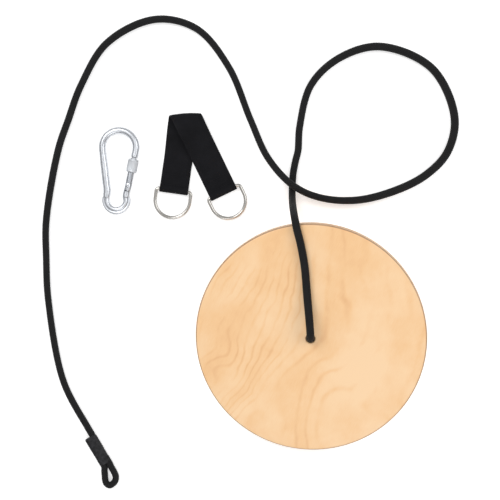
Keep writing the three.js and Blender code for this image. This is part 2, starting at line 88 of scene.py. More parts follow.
WEB_WIDTH = 38 * MM
WEB_THICKNESS = 1.9 * MM
FOLD_AT = Vector((-0.0995, 0.2142, 0))
FOLD_HEADING = math.radians(8.8)
FOLD_RADIUS = 4.6 * MM
LEG_ANGLE = math.radians(16.9)
LEG_LENGTHS = (96 * MM, 109 * MM)
HEM_LENGTH = 22 * MM
HEM_GAP = 0.4 * MM
HEM_CLOSES = 10 * MM
LOOP_RADIUS = 3.55 * MM
BAR_HEIGHT = 4.55 * MM

RING_WIRE = 2.25 * MM
RING_HALF_WIDTH = 23.2 * MM
RING_DEPTH = 36.5 * MM
RING_CORNER = 4 * MM
RING_DIP = math.radians(3.6)
RING_ASIDE = 0.9 * MM  # how far the right ring has slid along its bar

CLIP_AT = Vector((-0.1879, 0.1448, 0.0060456))
CLIP_TILT = math.asin(2.6 / 36.4)
CLIP_WIRE = 4.5 * MM
TOP_CENTRE = Vector((0.3, 30.6, 0)) * MM
TOP_RADIUS = 22.6 * MM
SPINE_LEAN = math.radians(6.5)
GATE_LEAN = math.radians(12.2)
BOTTOM_CENTRE = Vector((-3.4, -38.9, 0)) * MM
BOTTOM_RADIUS = 13.8 * MM
NOSE_STRAIGHT = 9 * MM
NOSE_GAP = 1 * MM
NECK_LENGTH = 0.7 * MM  # of the step on the nose's end, which goes into the gap
NECK_RADIUS = 3.1 * MM
GATE_RADIUS = 4.5 * MM
GATE_LENGTH = 38.3 * MM
GATE_HEEL = 6.2 * MM
PIN_RADIUS = 1.5 * MM
TONGUE_RADIUS = 3.6 * MM
TONGUE_HALF_THICKNESS = 1.7 * MM
TONGUE_CLEARANCE = 0.3 * MM
RIVET_HALF = 3.9 * MM  # length
LOCK_RADIUS = 7.1 * MM
LOCK_BORE = 5 * MM
LOCK_LENGTH = 17.4 * MM
LOCK_TOP = GATE_LENGTH - 1.5 * MM
LOCK_BAND = 2 * MM  # plain band at each end, beyond the knurl
AXIS = 0.1 * MM  # radius of a turned outline's ends, so that they don't meet on the axis


# ---------------------------------------------------------------- camera, light and floor
def linear(*srgb):
    """sRGB values from 0 to 255 as the linear colour with alpha that a shader takes."""
    def one(v):
        v = v / 255
        return v / 12.92 if v <= 0.04045 else ((v + 0.055) / 1.055) ** 2.4
    return (*[one(v) for v in srgb], 1.0)


CAMERA_AT = Vector((-0.0142, 0.0395, 1.65))
VIEW_WIDTH = 0.665  # seen across at the floor

camera_data = bpy.data.cameras.new("camera")
camera_data.sensor_width = 36
camera_data.lens = 36 * CAMERA_AT.z / VIEW_WIDTH
camera = bpy.data.objects.new("camera", camera_data)
camera.location = CAMERA_AT
bpy.context.scene.collection.objects.link(camera)
bpy.context.scene.camera = camera
bpy.context.scene.view_settings.view_transform = "Standard"


# ---------------------------------------------------------------- mesh helpers
def mesh_object(name, points, faces, smooth=True, uv=None):
    """A mesh in the row frame. uv is one pair for each face corner, in the map named run."""
    mesh = bpy.data.meshes.new(name)
    mesh.from_pydata(np.asarray(points, float).tolist(), [], np.asarray(faces, dtype=object).tolist())
    mesh.polygons.foreach_set("use_smooth", [smooth] * len(mesh.polygons))
    if uv is not None:
        layer = mesh.uv_layers.new(name="run")
        layer.data.foreach_set("uv", np.asarray(uv, np.float32).ravel())
    mesh.update()
    obj = bpy.data.objects.new(name, mesh)
    bpy.context.scene.collection.objects.link(obj)
    return obj


def settle(obj, matrix):
    """Moves the mesh itself into the row frame, and keeps its own coordinates as the attribute own."""
    own = np.empty(len(obj.data.vertices) * 3, np.float32)
    obj.data.vertices.foreach_get("co", own)
    obj.data.attributes.new("own", "FLOAT_VECTOR", "POINT").data.foreach_set("vector", own)
    obj.data.transform(matrix)
    return obj


def finish_piece(obj, material, body, slot, *nodes):
    """Gives the piece its material and body, and hides the CAD nodes that it stands for. The slot argument is
    not used.
    """
    obj.data.materials.clear()
    obj.data.materials.append(material)
    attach(obj, body)
    if nodes:
        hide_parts(*nodes)
    return obj


def catmull(points, per_span=24):
    """A centripetal Catmull-Rom curve through the points, as the CAD draws it."""
    p = np.asarray([tuple(q) for q in points], float)
    p = np.vstack([2 * p[0] - p[1], p, 2 * p[-1] - p[-2]])
    out = []
    for i in range(1, len(p) - 2):
        a, b, c, d = p[i - 1 : i + 3]
        t0, t1, t2 = (max(np.linalg.norm(v), 1e-9) ** 0.5 for v in (b - a, c - b, d - c))
        m1 = ((b - a) / t0 - (c - a) / (t0 + t1) + (c - b) / t1) * t1
        m2 = ((c - b) / t1 - (d - b) / (t1 + t2) + (d - c) / t2) * t1
        t = np.linspace(0, 1, per_span, endpoint=False)[:, None]
        out.append(b + m1 * t + (3 * (c - b) - 2 * m1 - m2) * t**2 + (2 * (b - c) + m1 + m2) * t**3)
    return np.vstack([*out, p[-2:-1]])


def spaced(line, step):
    """The line as points about step apart along it."""
    line = np.asarray([tuple(q) for q in line], float)
    run = np.concatenate([[0], np.cumsum(np.linalg.norm(np.diff(line, axis=0), axis=1))])
    at = np.linspace(0, run[-1], max(2, round(run[-1] / step) + 1))
    return np.stack([np.interp(at, run, line[:, k]) for k in range(3)], axis=1), at


def frames_along(line):
    """Two unit vectors across the line at each point, carried along it without twist."""
    tangent = np.gradient(line, axis=0)
    tangent /= np.linalg.norm(tangent, axis=1)[:, None]
    up = np.array([0.0, 0.0, 1.0])
    if abs(tangent[0] @ up) > 0.9:
        up = np.array([0.0, 1.0, 0.0])
    normal = np.empty_like(line)
    normal[0] = up - tangent[0] * (tangent[0] @ up)
    normal[0] /= np.linalg.norm(normal[0])
    for i in range(1, len(line)):
        n = normal[i - 1] - tangent[i] * (tangent[i] @ normal[i - 1])
        normal[i] = n / np.linalg.norm(n)
    return normal, np.cross(tangent, normal)


def grid_faces(rings, sides):
    """Quads of a tube of rings of so many points each, wound to face out."""
    i, j = np.meshgrid(np.arange(rings - 1), np.arange(sides), indexing="ij")
    i, j = i.ravel(), j.ravel()
    k = (j + 1) % sides
    return np.stack([i * sides + j, i * sides + k, (i + 1) * sides + k, (i + 1) * sides + j], axis=1)


def tube(line, run, section, sides):
    """A closed tube. section(run, angle) is its radius, or a pair of offsets along the two across
    vectors, on arrays. The map run holds the distance along it, and the turn from 0 to 1."""
    normal, side = frames_along(line)
    turn = np.arange(sides) / sides
    s, a = np.meshgrid(run, turn * TAU, indexing="ij")
    shape = section(s, a)
    x, y = shape if isinstance(shape, tuple) else (shape * np.cos(a), shape * np.sin(a))
    points = line[:, None, :] + x[..., None] * normal[:, None, :] + y[..., None] * side[:, None, :]
    points = points.reshape(-1, 3)
    faces = grid_faces(len(line), sides)
    row, col = np.meshgrid(np.arange(len(line) - 1), np.arange(sides), indexing="ij")
    r, c = row.ravel(), col.ravel()
    corners = [(run[r], c / sides), (run[r], (c + 1) / sides),
               (run[r + 1], (c + 1) / sides), (run[r + 1], c / sides)]
    uv = np.stack([np.stack(corner, axis=1) for corner in corners], axis=1).reshape(-1, 2)
    faces = faces.tolist()
    last = (len(line) - 1) * sides
    faces.append(list(range(sides))[::-1])
    faces.append([last + j for j in range(sides)])
    first_cap = [[run[0], j / sides] for j in range(sides)][::-1]
    last_cap = [[run[-1], j / sides] for j in range(sides)]
    return points, faces, np.vstack([uv, first_cap, last_cap])


def lathe(outline, sides, bump=None):
    """A turned solid about Z from a closed outline of (radius, height). bump(radius, height, angle)
    returns a new radius."""
    outline = np.asarray(outline, float)
    angle = np.arange(sides) / sides * TAU
    r, a = np.meshgrid(outline[:, 0], angle, indexing="ij")
    z = np.repeat(outline[:, 1][:, None], sides, axis=1)
    if bump is not None:
        r = bump(r, z, a)
    points = np.stack([r * np.cos(a), r * np.sin(a), z], axis=-1).reshape(-1, 3)
    n = len(outline)
    i, j = np.meshgrid(np.arange(n), np.arange(sides), indexing="ij")
    i, j = i.ravel(), j.ravel()
    h, k = (i + 1) % n, (j + 1) % sides
    faces = np.stack([i * sides + j, i * sides + k, h * sides + k, h * sides + j], axis=1)
    return points, faces


def boolean(obj, tool, operation):
    """obj joined with, or cut by, tool, which is then removed."""
    modifier = obj.modifiers.new("boolean", "BOOLEAN")
    modifier.object = tool
    modifier.operation = operation
    modifier.solver = "EXACT"
    bpy.context.view_layer.update()
    made = bpy.data.meshes.new_from_object(obj.evaluated_get(bpy.context.evaluated_depsgraph_get()))
    obj.modifiers.clear()
    old = obj.data
    obj.data = made
    bpy.data.meshes.remove(old)
    bpy.data.objects.remove(tool)
    return obj


def crease(obj, degrees=35):
    """Smooth shading that stays sharp at edges steeper than this."""
    mesh = obj.data
    mesh.polygons.foreach_set("use_smooth", [True] * len(mesh.polygons))
    mesh.set_sharp_from_angle(angle=math.radians(degrees))
    return obj


def ease(x):
    t = np.clip(x, 0, 1)
    return t * t * (3 - 2 * t)


# ---------------------------------------------------------------- material helpers
class Look:
    """A material whose shader inputs are constants or come from nodes."""

    def __init__(self, name, **shader):
        self.material = bpy.data.materials.new(name)
        self.material.use_nodes = True
        self.tree = self.material.node_tree
        self.shader = self.tree.nodes["Principled BSDF"]
        for socket, value in shader.items():
            self.shader.inputs[socket.replace("_", " ")].default_value = value

    def put(self, socket, value):
        if isinstance(value, bpy.types.NodeSocket):
            self.tree.links.new(value, socket)
        else:
            socket.default_value = value

    def feed(self, **sockets):
        for name, value in sockets.items():
            self.put(self.shader.inputs[name.replace("_", " ")], value)

    def node(self, kind, settings=None, out=0, **inputs):
        made = self.tree.nodes.new(kind)
        for key, value in (settings or {}).items():
            setattr(made, key, value)
        for key, value in inputs.items():
            self.put(made.inputs[key.replace("_", " ")], value)
        return made.outputs[out]

    def math(self, operation, *values):
        made = self.tree.nodes.new("ShaderNodeMath")
        made.operation = operation
        for socket, value in zip(made.inputs, values):
            self.put(socket, value)
        return made.outputs[0]

    def add(self, a, b):
        return self.math("ADD", a, b)

    def less(self, a, b):
        return self.math("SUBTRACT", a, b)

    def times(self, a, b):
        return self.math("MULTIPLY", a, b)

    def noise(self, vector, scale, detail=3.0, roughness=0.5, out=0):
        return self.node("ShaderNodeTexNoise", Vector=vector, Scale=scale, Detail=detail,
                         Roughness=roughness, out=out)

    def uv(self):
        return self.node("ShaderNodeUVMap", {"uv_map": "run"})

    def place(self):
        return self.node("ShaderNodeTexCoord", out=3)

    def own(self):
        return self.node("ShaderNodeAttribute", {"attribute_name": "own"}, out=1)

    def split(self, vector):
        made = self.tree.nodes.new("ShaderNodeSeparateXYZ")
        self.put(made.inputs[0], vector)
        return made.outputs

    def join(self, x, y, z=0.0):
        return self.node("ShaderNodeCombineXYZ", X=x, Y=y, Z=z)

    def ramp(self, value, *stops):
        """A colour ramp from (position, colour) stops."""
        made = self.tree.nodes.new("ShaderNodeValToRGB")
        self.put(made.inputs[0], value)
        elements = made.color_ramp.elements
        while len(elements) < len(stops):
            elements.new(0.5)
        for element, (position, colour) in zip(elements, stops):
            element.position = position
            element.color = colour
        return made.outputs[0]

    def span(self, value, low, high, to_low=0.0, to_high=1.0):
        return self.node("ShaderNodeMapRange", {"clamp": True}, Value=value, From_Min=low,
                         From_Max=high, To_Min=to_low, To_Max=to_high)

    def mix(self, factor, a, b):
        made = self.tree.nodes.new("ShaderNodeMix")
        made.data_type = "RGBA"
        self.put(made.inputs[0], factor)
        self.put(made.inputs[6], a)
        self.put(made.inputs[7], b)
        return made.outputs[2]

    def distance(self, a, b):
        made = self.tree.nodes.new("ShaderNodeVectorMath")
        made.operation = "DISTANCE"
        self.put(made.inputs[0], a)
        self.put(made.inputs[1], b)
        return made.outputs[1]

    def bump(self, height, distance, strength=1.0):
        return self.node("ShaderNodeBump", Height=height, Distance=distance, Strength=strength)


# ---------------------------------------------------------------- rope material and braid
BRAID_STRANDS = 8  # each way round
BRAID_PITCH = 27.2 * MM
BRAID_CELL = BRAID_PITCH / BRAID_STRANDS
BRAID_RELIEF = 0.34 * MM
BRAID_WEAVE = 0.55  # how much of the relief is the strands' over and under


def braid_relief(run, angle):
    """How far the braid's strands stand below the rope's outer radius."""
    a = BRAID_STRANDS * (angle / TAU + run / BRAID_PITCH)
    b = BRAID_STRANDS * (angle / TAU - run / BRAID_PITCH)
    crown_a = 1 - (2 * (a - np.floor(a)) - 1) ** 2
    crown_b = 1 - (2 * (b - np.floor(b)) - 1) ** 2
    over_a = crown_a + BRAID_WEAVE * np.sin(math.pi * b) * np.cos(math.pi * np.floor(a))
    over_b = crown_b - BRAID_WEAVE * np.sin(math.pi * a) * np.cos(math.pi * np.floor(b))
    top = 1 + BRAID_WEAVE
    return BRAID_RELIEF * (np.clip(np.maximum(over_a, over_b), 0, top) / top - 1)


def braid_look(name, dark, light):
    """Black braid: strands over and under each other, with fine filaments along each strand."""
    look = Look(name, Roughness=0.75, Sheen_Weight=0.05, Sheen_Roughness=0.4, Specular_IOR_Level=0.14)
    run, turn, _ = look.split(look.uv())
    slant = look.math("DIVIDE", run, BRAID_PITCH)
    a = look.times(look.add(turn, slant), BRAID_STRANDS)
    b = look.times(look.less(turn, slant), BRAID_STRANDS)

    def strand(own, other, sign):
        part = look.math("FRACT", own)
        centred = look.less(look.times(part, 2.0), 1.0)
        crown = look.less(1.0, look.times(centred, centred))
        swing = look.math("SINE", look.times(other, math.pi))
        turned = look.math("COSINE", look.times(look.math("FLOOR", own), math.pi))
        weave = look.times(look.times(swing, turned), sign * BRAID_WEAVE)
        filament = look.math("SINE", look.times(part, TAU * 5))
        return look.add(crown, weave), filament

    top_a, filament_a = strand(a, b, 1)
    top_b, filament_b = strand(b, a, -1)
    a_shows = look.math("GREATER_THAN", top_a, top_b)
    height = look.math("MAXIMUM", top_a, top_b)
    b_shows = look.less(1.0, a_shows)
    filament = look.add(look.times(filament_a, a_shows), look.times(filament_b, b_shows))
    speckle = look.noise(look.place(), 1400.0, 2.0)
    patch = look.noise(look.place(), 60.0, 2.0)
    # The crests of the strands are painted lighter and the hollows between them darker: painted shade in the
    # braid.
    tone = look.add(look.times(height, 0.42), look.times(look.add(speckle, patch), 0.3))
    look.feed(Base_Color=look.ramp(tone, (0.15, dark), (0.95, light)))
    fine = look.add(look.times(filament, 0.5), speckle)
    look.feed(Normal=look.bump(fine, 0.12 * MM, 0.7))
    look.feed(Roughness=look.span(speckle, 0.3, 0.7, 0.6, 0.85))
    return look.material


rope_material = braid_look("rope_braid", linear(8, 8, 9), linear(35, 35, 36))

# ---------------------------------------------------------------- the rope
sleeve_along = Vector((math.cos(SLEEVE_HEADING), math.sin(SLEEVE_HEADING), 0))
sleeve_aside = Vector((-math.sin(SLEEVE_HEADING), math.cos(SLEEVE_HEADING), 0))
strand_top = SLEEVE_TOP + sleeve_aside * ENTRY_OFFSET
rope_points = [Vector(p) for p in ROPE_ROUTE]
rope_points += [strand_top - sleeve_along * 14 * MM, strand_top - sleeve_along * 0.3 * MM]

# Radius of the rope, in millimetres, at shares of its length: looser in the loop and on the seat.
ROPE_SHARES = (0, 0.04, 0.09, 0.13, 0.2, 0.26, 0.34, 0.43, 0.48, 0.56, 0.61, 0.69, 0.73, 0.81, 0.87, 1)
ROPE_RADII = (5.0, 5.25, 5.1, 4.8, 4.7, 5.25, 5.45, 5.4, 4.75, 4.45, 4.55, 5.1, 4.75, 4.85, 4.5, 4.5)


def rope_smooth_radius(run):
    return np.interp(run / run.max(), ROPE_SHARES, np.array(ROPE_RADII) * MM)


def rope_radius(run, angle):
    return rope_smooth_radius(run) + braid_relief(run, angle)


rope_line, rope_run = spaced(catmull(rope_points), BRAID_CELL / 4)
rope_line[:, 2] = np.maximum(rope_line[:, 2], rope_smooth_radius(rope_run) + 0.1 * MM)
points, faces, uv = tube(rope_line, rope_run, rope_radius, 40)
rope = mesh_object("rope", points, faces, uv=uv)
finish_piece(rope, rope_material, "rope", "rope_braid", "rope_over_seat", "rope_on_floor")

# ---------------------------------------------------------------- sleeve and eye
sleeve_end = SLEEVE_TOP + sleeve_along * SLEEVE_LENGTH


def mouth(side, distance):
    return sleeve_end + sleeve_along * distance + sleeve_aside * side * STRAND_OFFSET


eye_points = [mouth(1, -8 * MM), mouth(1, 2.6 * MM), *[Vector((x, y, sleeve_end.z)) for x, y in EYE_LINE],
              mouth(-1, 3 * MM), mouth(-1, -8 * MM)]
eye_line, eye_run = spaced(catmull(eye_points), BRAID_CELL / 5)
points, faces, uv = tube(eye_line, eye_run, lambda s, a: EYE_ROPE_RADIUS + braid_relief(s, a), 40)
eye = mesh_object("rope_eye_braid", points, faces, uv=uv)
finish_piece(eye, rope_material, "rope", "rope_braid", "rope_eye")


def sleeve_section(run, angle):
    """An oval tube drawn in over two strands, with soft wrinkles and rounded ends."""
    share = run / run.max()
    power = 2.6
    c, s = np.cos(angle), np.sin(angle)
    grow = 1 - 0.16 * (1 - ease(run / (1.6 * MM))) - 0.1 * (1 - ease((run.max() - run) / (1.2 * MM)))
    half_width = SLEEVE_HALF_WIDTH * (1 - 0.03 * ease((share - 0.3) / 0.5))
    wrinkle = 1 + 0.012 * np.sin(run / MM * 2.1 + 2 * angle) + 0.01 * np.sin(run / MM * 0.9 - 3 * angle)
    waist = 1 - 0.07 * np.exp(-((c / 0.3) ** 2))
    x = np.sign(s) * np.abs(s) ** (2 / power) * SLEEVE_HALF_HEIGHT * waist
    y = np.sign(c) * np.abs(c) ** (2 / power) * half_width
    return x * grow * wrinkle * 0.97, y * grow * wrinkle


sleeve_line, sleeve_run = spaced([SLEEVE_TOP, sleeve_end], 0.7 * MM)
points, faces, _ = tube(sleeve_line, sleeve_run, sleeve_section, 64)
sleeve = mesh_object("eye_sleeve_tube", points, [f[::-1] for f in faces])


def sleeve_look():
    """Shrunk tube: blotchy dark grey, duller in some places, with a fine grain."""
    look = Look("shrink_sleeve", Roughness=0.5, Specular_IOR_Level=0.22)
    cloud = look.noise(look.place(), 240.0, 4.0, 0.65)
    grain = look.noise(look.place(), 700.0, 3.0)
    look.feed(Base_Color=look.ramp(cloud, (0.35, linear(18, 18, 20)), (0.7, linear(50, 50, 53))),
              Roughness=look.span(cloud, 0.3, 0.7, 0.36, 0.6),
              Normal=look.bump(look.add(cloud, grain), 0.35 * MM, 0.6))
    return look.material


finish_piece(crease(sleeve, 50), sleeve_look(), "rope", "shrink_sleeve", "eye_sleeve")


# ---------------------------------------------------------------- stopper knot and its tail
def knot_points():
    """An overhand knot: down from the hole, round five lobes of a trefoil, and out as the tail."""
    turn = math.radians(120)
    loops = []
    for t in np.linspace(0.12, math.radians(300), 40):
        x = math.sin(t) + 2 * math.sin(2 * t)
        y = math.cos(t) - 2 * math.cos(2 * t)
        z = -1.35 * math.sin(3 * t)
        loops.append(KNOT_CENTRE + KNOT_SCALE * Vector((
            x * math.cos(turn) - y * math.sin(turn), x * math.sin(turn) + y * math.cos(turn), z)))
    tail = [(5, -9, -2), (12, -8.6, -5.6), (19, -9, -8.4), (27, -10, -9), (38.5, -11, -9)]
    return [SEAT_FOOT, *loops, *[KNOT_CENTRE + Vector(p) * MM for p in tail]]


def knot_radius(run, angle):
    """Full rope, drawn in and rounded over the last few millimetres of the tail."""
    left = np.clip((run.max() - run) / (2.4 * MM), 0, 1)
    return (KNOT_ROPE_RADIUS + braid_relief(run, angle)) * np.sqrt(np.clip(1 - 0.85 * (1 - left) ** 2, 0, 1))


knot_line, knot_run = spaced(catmull(knot_points(), 8), BRAID_CELL / 5)
knot_line[:, 2] = np.maximum(knot_line[:, 2], 4.35 * MM)
points, faces, uv = tube(knot_line, knot_run, knot_radius, 40)
knot = mesh_object("stopper_knot_and_tail", points, faces, uv=uv)
finish_piece(knot, rope_material, "rope", "rope_braid", "stopper_knot", "knot_tail")

# ---------------------------------------------------------------- wooden seat
EDGE_STEPS = 8
RIM_LINE = (148.1 * MM, 148.8 * MM, 149.6 * MM, 149.9 * MM)  # where the dark line at the rim comes and goes
FIGURE_LINES = 80  # of the veneer, to a metre
FACE_PLY = 0.85 * MM
INNER_PLY = 1.358 * MM


def seat_outline():
    r, t, e = SEAT_RADIUS, SEAT_THICKNESS, SEAT_EDGE_ROUND
    outline = [(HOLE_RADIUS, HOLE_CHAMFER), (HOLE_RADIUS + HOLE_CHAMFER, 0)]
    outline += [(r * k, 0) for k in (0.25, 0.55, 0.8)]
    outline += [(r - e + e * math.sin(a), e - e * math.cos(a))
                for a in np.linspace(0, math.pi / 2, EDGE_STEPS)]
    outline += [(r - e + e * math.cos(a), t - e + e * math.sin(a))
                for a in np.linspace(0, math.pi / 2, EDGE_STEPS)]
    outline += [(r * k, t) for k in (0.8, 0.55, 0.25)]
    outline += [(HOLE_RADIUS + HOLE_CHAMFER, t), (HOLE_RADIUS, t - HOLE_CHAMFER)]
    return outline


points, faces = lathe(seat_outline(), 256)
seat = mesh_object("seat_plywood", points, faces)
seat_y = SEAT_UP.cross(Vector((1, 0, 0))).normalized()
seat_x = seat_y.cross(SEAT_UP).normalized()
seat_turn = Matrix((seat_x, seat_y, SEAT_UP)).transposed().to_4x4()
settle(seat, Matrix.Translation(SEAT_FOOT) @ seat_turn)


def wood_look():
    """Birch plywood: rotary-cut face veneer with soft wavy figure, and its plies on the edge."""
    look = Look("birch_ply", Roughness=0.42, Coat_Weight=0.12, Coat_Roughness=0.3)
    place = look.own()
    x, y, z = look.split(place)
    warp = look.split(look.noise(place, 7.5, 2.0, 0.45, out=1))
    ripple = look.split(look.noise(look.join(x, y, 0.7), 26.0, 2.0, 0.5, out=1))
    # Left of the middle the figure runs up to the right; on the right it stands nearly upright.
    lean = look.span(look.add(x, look.times(y, 0.2)), -0.09, 0.07, 0.72, 0.08)
    flow = look.less(x, look.times(y, lean))
    swirl = look.span(y, 0.02, -0.1, 0.06, 0.28)
    flow = look.add(flow, look.times(look.less(warp[0], 0.5), swirl))
    flow = look.add(flow, look.times(look.less(ripple[1], 0.5), 0.02))
    # Its lines are close on the left and far apart on the right.
    spread = look.math("MAXIMUM", look.add(flow, 0.03), 0.0)
    flow = look.less(flow, look.times(spread, 0.55))
    phase = look.times(flow, TAU * FIGURE_LINES)
    ring = look.add(look.times(look.math("COSINE", phase), 0.5), 0.5)
    ring = look.math("POWER", ring, 4.0)
    wide = look.math("COSINE", look.times(phase, 0.23))
    wide = look.add(look.times(wide, 0.5), 0.5)
    fade = look.span(look.noise(look.join(x, y, 0.2), 17.0, 3.0), 0.4, 0.66)
    cloud = look.noise(look.join(x, y, 0.4), 11.0, 4.0, 0.6)
    # Short fibre flecks along the grain.
    across_grain = look.less(x, look.times(y, 0.4))
    fibre = look.noise(look.join(look.times(across_grain, 900.0), look.times(y, 110.0)), 1.0, 2.0)
    tone = look.times(ring, look.times(fade, 0.32))
    tone = look.add(tone, look.times(wide, 0.16))
    tone = look.add(tone, look.times(look.less(cloud, 0.42), 1.35))
    # A deeper patch beside the rope, and a paler one below it.
    for at, reach, amount in (((0.02, 0.035), 0.034, 0.16), ((0.055, -0.04), 0.05, -0.22)):
        away = look.distance(look.join(x, y), (*at, 0))
        tone = look.add(tone, look.span(away, 0.2 * reach, reach, amount, 0.0))
    tone = look.add(tone, look.times(look.less(fibre, 0.5), 0.24))
    face = look.ramp(tone, (0.0, linear(251, 213, 168)), (0.35, linear(246, 200, 147)),
                     (0.68, linear(236, 183, 130)), (1.0, linear(218, 160, 112)))
    squares = look.add(look.times(x, x), look.times(y, y))
    from_hole = look.math("SQRT", squares)
    rim = look.times(look.span(from_hole, *RIM_LINE[:2]), look.span(from_hole, *RIM_LINE[2:], 0.75, 0.0))
    # Plies: a thin face, then veneers whose grain turns a quarter each time.
    layer = look.math("FLOOR", look.math("DIVIDE", look.less(z, FACE_PLY), INNER_PLY))
    cross = look.times(look.math("FRACT", look.times(layer, 0.5)), 2.0)
    edge_place = look.join(look.times(x, 260.0), look.times(y, 260.0), look.times(z, 2600.0))
    edge_grain = look.noise(edge_place, 1.0, 3.0, 0.6)
    pale = look.ramp(edge_grain, (0.3, linear(226, 187, 140)), (0.7, linear(243, 212, 167)))
    end_grain = look.ramp(edge_grain, (0.3, linear(160, 116, 76)), (0.7, linear(196, 150, 103)))
    plies = look.mix(cross, end_grain, pale)
    in_face = look.math("MAXIMUM", look.math("GREATER_THAN", z, SEAT_THICKNESS - FACE_PLY),
                        look.math("LESS_THAN", z, FACE_PLY))
    look.feed(Base_Color=look.mix(rim, look.mix(in_face, plies, face), linear(150, 108, 84)))
    relief = look.add(look.times(fibre, 0.5), look.times(edge_grain, 0.4))
    look.feed(Normal=look.bump(relief, 0.06 * MM, 0.5), Roughness=look.span(fibre, 0.3, 0.7, 0.36, 0.5))
    return look.material


finish_piece(crease(seat, 40), wood_look(), "seat", "birch_ply", "seat_disc")

# ---------------------------------------------------------------- strap
fold_line = Vector((math.cos(FOLD_HEADING), math.sin(FOLD_HEADING), 0))
fold_up = Vector((-math.sin(FOLD_HEADING), math.cos(FOLD_HEADING), 0))
CAD_WEB = 2 * MM  # the CAD webbing's thickness, which sets the heights
FOLD_ARC = math.pi * FOLD_RADIUS / math.cos(LEG_ANGLE)
LOOP_ARC = math.pi * LOOP_RADIUS
HEM_RETURN = LOOP_RADIUS + HEM_LENGTH
STRAP_LENGTH = sum(LEG_LENGTHS) + FOLD_ARC + 2 * (LOOP_ARC + HEM_RETURN)
FOLD_SLACK = 32 * MM  # how far down the legs the fold's looseness reaches
FOLD_RISE = 1.2 * MM  # how far the fold stands up beyond its crease
FOLD_SWING = 0.085  # slope by which its two ends swing round
FOLD_BULGE = 16 * MM  # off its middle, the crease falls back by 1 mm here
FOLD_SPREAD = 0.07  # how much wider the loose fold lies


def leg_height(distance, upper):
    """Height of the webbing's middle on a leg's outer layer."""
    over_bar = BAR_HEIGHT + LOOP_RADIUS
    over_hem = 1.5 * CAD_WEB + HEM_GAP
    floor = CAD_WEB / 2
    near_bar = over_bar + (over_hem - over_bar) * ease(distance / HEM_CLOSES)
    if upper:
        top = floor + 2 * FOLD_RADIUS
        return near_bar + (top - over_hem) * ease((distance - 38 * MM) / (LEG_LENGTHS[1] - 42 * MM))
    return near_bar + (floor - over_hem) * ease((distance - HEM_LENGTH - 4 * MM) / (14 * MM))


def hem(past):
    """Distance from the bar and height of the webbing once it has turned round the bar."""
    if past < LOOP_ARC:
        a = past / LOOP_RADIUS
        return -LOOP_RADIUS * math.sin(a), BAR_HEIGHT + LOOP_RADIUS * math.cos(a)
    back = past - LOOP_ARC
    drop = BAR_HEIGHT - LOOP_RADIUS
    return back, drop + (CAD_WEB / 2 - drop) * ease(back / HEM_CLOSES)


def strap_point(length, across):
    """The webbing's middle surface at a distance along it from the first bar, and across it."""
    from_fold = length - LEG_LENGTHS[0] - FOLD_ARC / 2
    slope = math.tan(LEG_ANGLE)
    arc_length = math.pi * FOLD_RADIUS
    along = (from_fold - across * slope) * math.cos(LEG_ANGLE) + arc_length / 2
    aside = from_fold * math.sin(LEG_ANGLE) + across / math.cos(LEG_ANGLE)
    aside -= across * slope * math.sin(LEG_ANGLE)
    if 0 <= along <= arc_length:
        turn = along / FOLD_RADIUS
        place = FOLD_AT + fold_line * aside + fold_up * FOLD_RADIUS * math.sin(turn)
        place.z = CAD_WEB / 2 + FOLD_RADIUS * (1 - math.cos(turn))
        return place
    upper = along > arc_length
    to_bar = LEG_LENGTHS[0] + FOLD_ARC + LEG_LENGTHS[1] - length if upper else length
    reach, height = hem(-to_bar) if to_bar < 0 else (to_bar, leg_height(to_bar, upper))
    past = reach - to_bar
    place = FOLD_AT + fold_line * (aside + (-past if upper else past) * math.sin(LEG_ANGLE))
    place += fold_up * ((arc_length - along if upper else along) + past * math.cos(LEG_ANGLE))
    place.z = height
    return place


WEB_RIB = 1.52 * MM  # one rib of the weave, across the webbing
WEB_FLOAT = 3.0 * MM  # length of the weave's step along it


def web_relief(across, along):
    """Ribs along the webbing, stepped in a herringbone that turns at each quarter of its width."""
    zig = np.abs(((across / WEB_WIDTH + 0.5) * 2) % 1 - 0.5) * 4
    return 0.055 * MM * np.cos(TAU * across / WEB_RIB) + 0.045 * MM * np.sin(TAU * (along / WEB_FLOAT + zig))


def relax(place):
    """Lets the loose fold lie flatter than a hard crease: its ends swing round, its middle bulges."""
    from_fold = (place - FOLD_AT).dot(fold_up)
    across = (place - FOLD_AT).dot(fold_line)
    near = math.exp(-((min(from_fold - FOLD_RADIUS, 0) / FOLD_SLACK) ** 2))
    place.y += near * (FOLD_RISE - FOLD_SWING * across - (across / FOLD_BULGE) ** 2 * MM)
    place.x += near * FOLD_SPREAD * across
    return place


